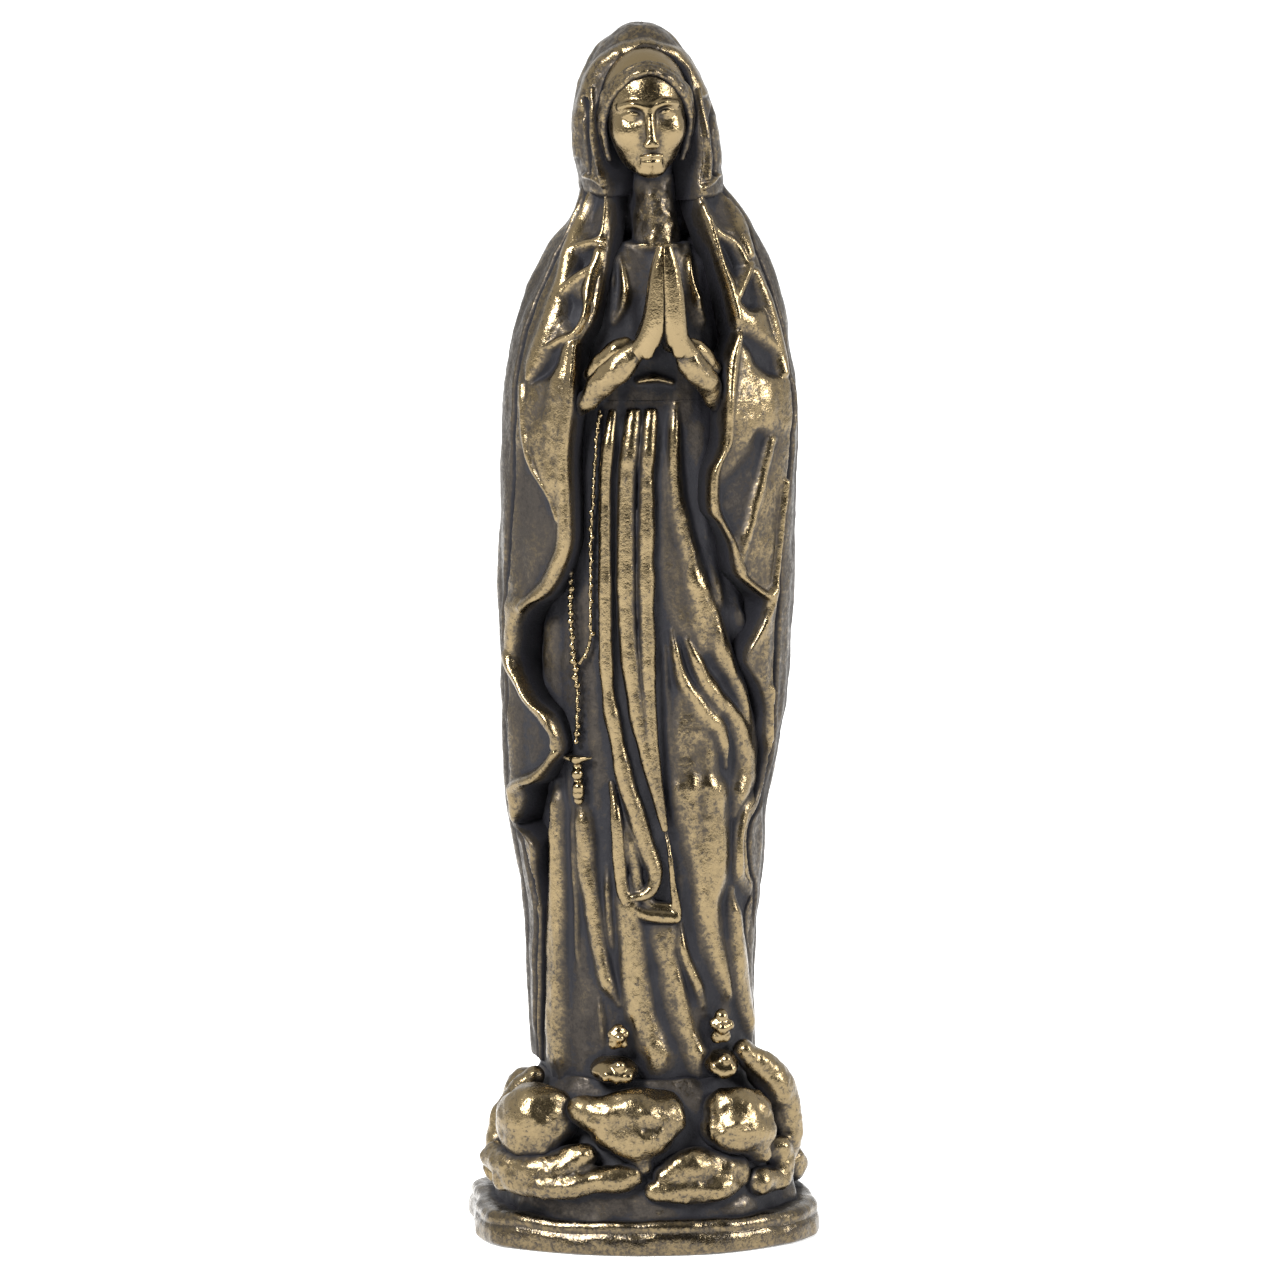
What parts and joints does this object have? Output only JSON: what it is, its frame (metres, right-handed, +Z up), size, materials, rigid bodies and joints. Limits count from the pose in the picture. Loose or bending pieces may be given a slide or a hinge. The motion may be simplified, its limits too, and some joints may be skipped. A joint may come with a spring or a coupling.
{
  "type": "madonna statue",
  "caption": "Small cast brass statue of a veiled, praying woman in a long mantle, with a rosary, standing on a rocky mound and a plinth.",
  "frame": {"origin": "on the floor, under the middle of the plinth", "axes": "+Z up; the figure faces -Y, so her right hand is at -X"},
  "size_m": [0.0142, 0.0116, 0.05],
  "materials": {
    "polished": "hand-polished high points of an antiqued casting",
    "drapery": "antiqued, with dark patina left in the folds",
    "patina": "blue-black patina over rough casting",
    "rock": "polished boulders with dark patina in the gaps"
  },
  "bodies": {
    "root": {"hand_right": "polished", "hand_left": "polished", "cuff_right": "polished", "cuff_left": "polished", "sleeve_right": "drapery", "sleeve_left": "drapery", "head": "polished", "hair": "drapery", "neck": "drapery", "veil": "drapery", "rosary": "polished", "crucifix": "polished", "sash_tail_long": "drapery", "sash_tail_short": "drapery", "foot_right": "polished", "foot_left": "polished", "rose_right": "polished", "rose_left": "polished", "gown_skirt": "drapery", "gown_bodice": "drapery", "mantle_right": "drapery", "mantle_left": "drapery", "mantle_back": "patina", "plinth": "rock", "rock_front_centre": "rock", "rock_front_right": "rock", "rock_front_left": "rock", "rock_low_right": "rock", "rock_low_left": "rock", "rock_side_right": "rock", "rock_side_left": "rock", "rock_back_right": "rock", "rock_back_left": "rock", "rock_back_centre": "rock", "mound_core": "patina"}
  },
  "joints": []
}
